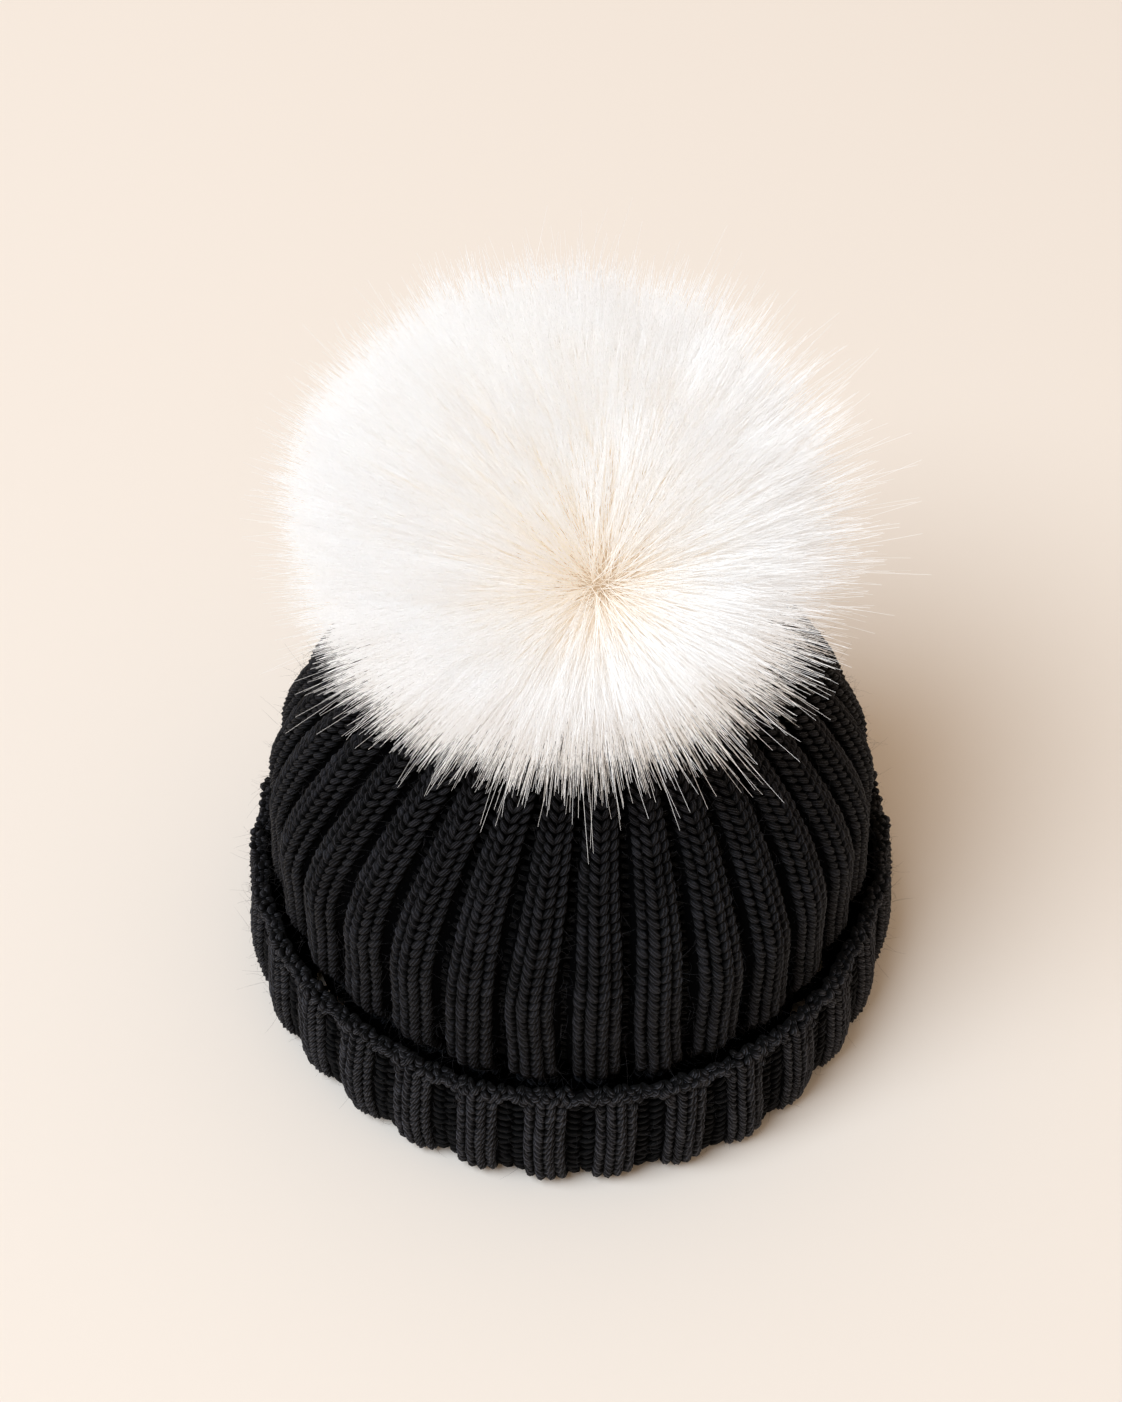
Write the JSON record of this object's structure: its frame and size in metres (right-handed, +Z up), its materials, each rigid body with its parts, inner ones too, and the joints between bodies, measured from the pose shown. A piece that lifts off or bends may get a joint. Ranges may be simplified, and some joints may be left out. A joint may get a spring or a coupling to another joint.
{
  "type": "pom pom beanie",
  "caption": "Chunky rib-knit beanie with a deep folded cuff and a round long-haired fur pom pom that snaps onto the crown.",
  "frame": {"origin": "middle of the ring that the cuff's fold stands on", "axes": "+Z up through the crown and the pom pom, -Y to the front, +X to the right of someone facing the front"},
  "size_m": [0.2078, 0.2078, 0.2655],
  "materials": {
    "black_knit": "matte",
    "black_yarn": "matte",
    "black_felt": "matte",
    "white_ribbon": "satin",
    "brass": "polished",
    "spring_steel": "polished",
    "white_felt": "matte",
    "pelt": "matte",
    "wadding": "matte",
    "white_thread": "matte",
    "white_fur": "matte"
  },
  "bodies": {
    "hat": {"crown_knit": "black_knit", "cuff": "black_knit", "gather_cord": "black_yarn", "care_label": "white_ribbon", "backing_disc": "black_felt", "snap_cap": "brass", "snap_socket": "brass", "socket_spring": "spring_steel"},
    "stud": {"snap_stud": "brass", "stud_cap": "brass"},
    "pom_base": {"pom_base_disc": "white_felt"},
    "pom_ball": {"pom_skin": "pelt", "pom_stuffing": "wadding", "pom_draw_thread": "white_thread", "pom_fur": "white_fur"}
  },
  "joints": [
    {"name": "pom_unsnap", "type": "slide", "parent": "hat", "child": "stud", "axis": [0, 0, 1], "range_m": [0, 0.06]},
    {"name": "pom_swivel", "type": "hinge", "parent": "stud", "child": "pom_base", "pos_m": [0, 0, 0.1617], "axis": [0, 0, 1], "continuous": true},
    {"name": "pom_tilt", "type": "hinge", "parent": "pom_base", "child": "pom_ball", "pos_m": [0, 0, 0.1633], "axis": [1, 0, 0], "range_deg": [-12, 12], "stiffness_Nm_per_rad": 0.15}
  ]
}
